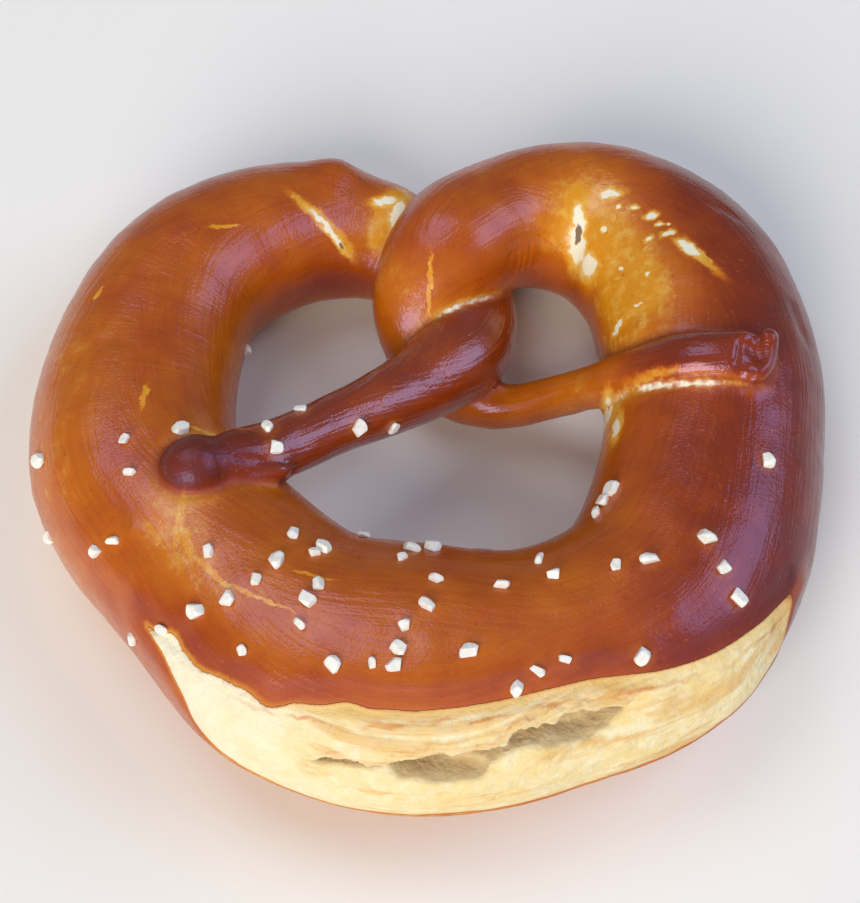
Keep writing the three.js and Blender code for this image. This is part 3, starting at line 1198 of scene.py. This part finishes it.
def grain(bm, size, place, facing, draw):
    """One chunky crystal: a block with worn edges, dented and with random corners cut off."""
    bmesh.ops.create_icosphere(bm, subdivisions=2, radius=size * 0.6)
    for vert in bm.verts:
        vert.co *= draw.uniform(0.9, 1.08)
    for axis in itertools.product((0, 1, 2), (-1, 1)):
        direction = Vector(draw.normal(size=3)) * 0.22
        direction[axis[0]] += axis[1]
        direction.normalize()
        cut = bmesh.ops.bisect_plane(
            bm,
            geom=[*bm.verts, *bm.edges, *bm.faces],
            plane_co=direction * size * draw.uniform(0.34, 0.46),
            plane_no=direction,
            clear_outer=True,
        )
        rim = [item for item in cut["geom_cut"] if isinstance(item, bmesh.types.BMEdge)]
        bmesh.ops.holes_fill(bm, edges=rim, sides=0)
    shape = Matrix.Diagonal((1.0, draw.uniform(0.6, 0.85), draw.uniform(0.55, 0.75), 1))
    skew = Matrix.Shear("XY", 4, tuple(draw.uniform(-0.3, 0.3, 2)))
    bmesh.ops.transform(bm, matrix=shape @ skew, verts=bm.verts)
    spin = Matrix.Rotation(draw.uniform(0, 2 * math.pi), 4, "Z")
    tip = Matrix.Rotation(draw.uniform(-0.4, 0.4), 4, "X")
    upright = Vector(facing).to_track_quat("Z", "Y").to_matrix().to_4x4()
    bmesh.ops.transform(bm, matrix=Matrix.Translation(place) @ upright @ spin @ tip, verts=bm.verts)


def salt_mesh(dough, sizes):
    """All the grains as one mesh, each sunk a little into the dough."""
    draw = np.random.default_rng(sizes.seed)
    bm = bmesh.new()
    bm.from_mesh(dough)
    crust = BVHTree.FromBMesh(bm)
    bm.free()
    mesh = bpy.data.meshes.new("salt")
    bm = bmesh.new()
    places = []
    for start, *row in PINCHES:
        end, count = row or (start, 1)
        for step in range(count):
            share = step / max(count - 1, 1)
            spot = Vector(start).lerp(Vector(end), share)
            spot += Vector(draw.uniform(-0.6, 0.6, 3))
            place, facing, _, _ = crust.find_nearest(spot * MM)
            size = draw.uniform(sizes.smallest, sizes.largest)
            one = bpy.data.meshes.new("grain")
            with reshaped(one) as grain_bm:
                grain(grain_bm, size, place + facing * size * GRAIN_LIFT, facing, draw)
                bmesh.ops.recalc_face_normals(grain_bm, faces=grain_bm.faces)
            bm.from_mesh(one)
            bpy.data.meshes.remove(one)
            places.append(place)
    bm.to_mesh(mesh)
    bm.free()
    return mesh, np.array(places) / MM


# ---------------------------------------------------------------- operators and stage


# Soft boxes: name, place in metres, size across, watts and colour.
STUDIO_LIGHTS = (
    ("key", (-0.8, -2.0, 1.3), 1.8, 58, (1.0, 0.95, 0.88)),
    ("window", (1.8, 0.35, 1.6), 1.9, 27, (0.62, 0.74, 1.0)),
    ("ceiling", (-0.7, 0.8, 2.2), 1.4, 13, (0.82, 0.86, 1.0)),
)
LOOK_AT = Vector((0, 0.0017, 0.015))  # what the lamps and the camera face, in metres


class MakeDough(bpy.types.Operator):
    """Build the baked dough with its torn belly"""

    bl_idname = "pretzel.dough"
    bl_label = "Dough"

    def execute(self, context):
        mesh = dough_mesh(context.scene.pretzel_dough)
        piece = add_piece("dough", mesh, DoughRecipe(context.scene.pretzel_colours).baked())
        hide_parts("pretzel")
        return {"FINISHED"}


class ScatterSalt(bpy.types.Operator):
    """Scatter the coarse salt on the dough"""

    bl_idname = "pretzel.salt"
    bl_label = "Salt"

    def execute(self, context):
        sizes = context.scene.pretzel_salt
        dough = bpy.data.objects["dough"].data
        mesh, places = salt_mesh(dough, sizes)
        piece = add_piece("salt", mesh, salt_material(sizes.white))
        mesh.shade_flat()
        points = read_points(dough)
        closeness = np.zeros(len(points))
        for place in places:
            apart = np.linalg.norm(points - place, axis=1)
            closeness = np.maximum(closeness, ease(3.0, 1.4, apart))
        write_attribute(dough, "salt", closeness)
        return {"FINISHED"}


class SetStage(bpy.types.Operator):
    """Set up the floor, the studio lights and the camera"""

    bl_idname = "pretzel.stage"
    bl_label = "Stage"

    def execute(self, context):
        sizes = context.scene.pretzel_stage
        sheet = bpy.data.meshes.new("floor")
        with reshaped(sheet) as bm:
            bmesh.ops.create_grid(bm, x_segments=1, y_segments=1, size=3)
        sheet.materials.append(floor_material(sizes.floor))
        floor = bpy.data.objects.new("floor", sheet)
        context.scene.collection.objects.link(floor)
        for light in STUDIO_LIGHTS:
            add_light(*light)
        add_camera(sizes)
        set_world()
        return {"FINISHED"}


def aim(thing, place, target):
    """Puts a lamp or camera somewhere, facing a target."""
    thing.location = place
    thing.rotation_euler = (Vector(target) - Vector(place)).to_track_quat("-Z", "Y").to_euler()


def add_light(name, place, across, watts, shade):
    """A soft box facing the pretzel."""
    lamp = bpy.data.lights.new(name, "AREA")
    lamp.shape = "DISK"
    lamp.size = across
    lamp.energy = watts
    lamp.color = shade
    box = bpy.data.objects.new(name, lamp)
    bpy.context.scene.collection.objects.link(box)
    aim(box, place, LOOK_AT)


def add_camera(sizes):
    """The camera, in front of the pretzel and looking down."""
    camera = bpy.data.cameras.new("camera")
    camera.lens = sizes.lens
    camera.clip_start = 0.01
    holder = bpy.data.objects.new("camera", camera)
    bpy.context.scene.collection.objects.link(holder)
    back = Vector((0, -math.cos(sizes.elevation), math.sin(sizes.elevation)))
    aim(holder, LOOK_AT + back * sizes.distance, LOOK_AT)
    bpy.context.scene.camera = holder


def set_world():
    """Pale light from all round, and colours shown as they are."""
    world = bpy.data.worlds.new("studio")
    world.use_nodes = True
    background = world.node_tree.nodes["Background"]
    background.inputs["Color"].default_value = (1.0, 0.97, 0.94, 1)
    background.inputs["Strength"].default_value = 0.2
    bpy.context.scene.world = world
    bpy.context.scene.view_settings.view_transform = "Standard"


class PretzelPanel(bpy.types.Panel):
    """Lists the pretzel's sizes, colours and makers"""

    bl_label = "Pretzel"
    bl_idname = "VIEW3D_PT_pretzel"
    bl_space_type = "VIEW_3D"
    bl_region_type = "UI"
    bl_category = "Pretzel"

    def draw(self, context):
        for operator in OPERATORS:
            self.layout.operator(operator.bl_idname)
        for name in SETTINGS:
            group = getattr(context.scene, name)
            for key in group.__annotations__:
                self.layout.prop(group, key)


OPERATORS = (MakeDough, ScatterSalt, SetStage)
SETTINGS = {
    "pretzel_dough": DoughSizes,
    "pretzel_colours": DoughColours,
    "pretzel_salt": SaltSizes,
    "pretzel_stage": StageSizes,
}


def register():
    for cls in (*SETTINGS.values(), *OPERATORS, PretzelPanel):
        bpy.utils.register_class(cls)
    for name, cls in SETTINGS.items():
        setattr(bpy.types.Scene, name, PointerProperty(type=cls))


def unregister():
    for name in SETTINGS:
        delattr(bpy.types.Scene, name)
    for cls in (PretzelPanel, *OPERATORS[::-1], *reversed(SETTINGS.values())):
        bpy.utils.unregister_class(cls)


def main():
    register()
    bpy.ops.pretzel.dough()
    bpy.ops.pretzel.salt()
    bpy.ops.pretzel.stage()


if __name__ == "__main__":
    main()
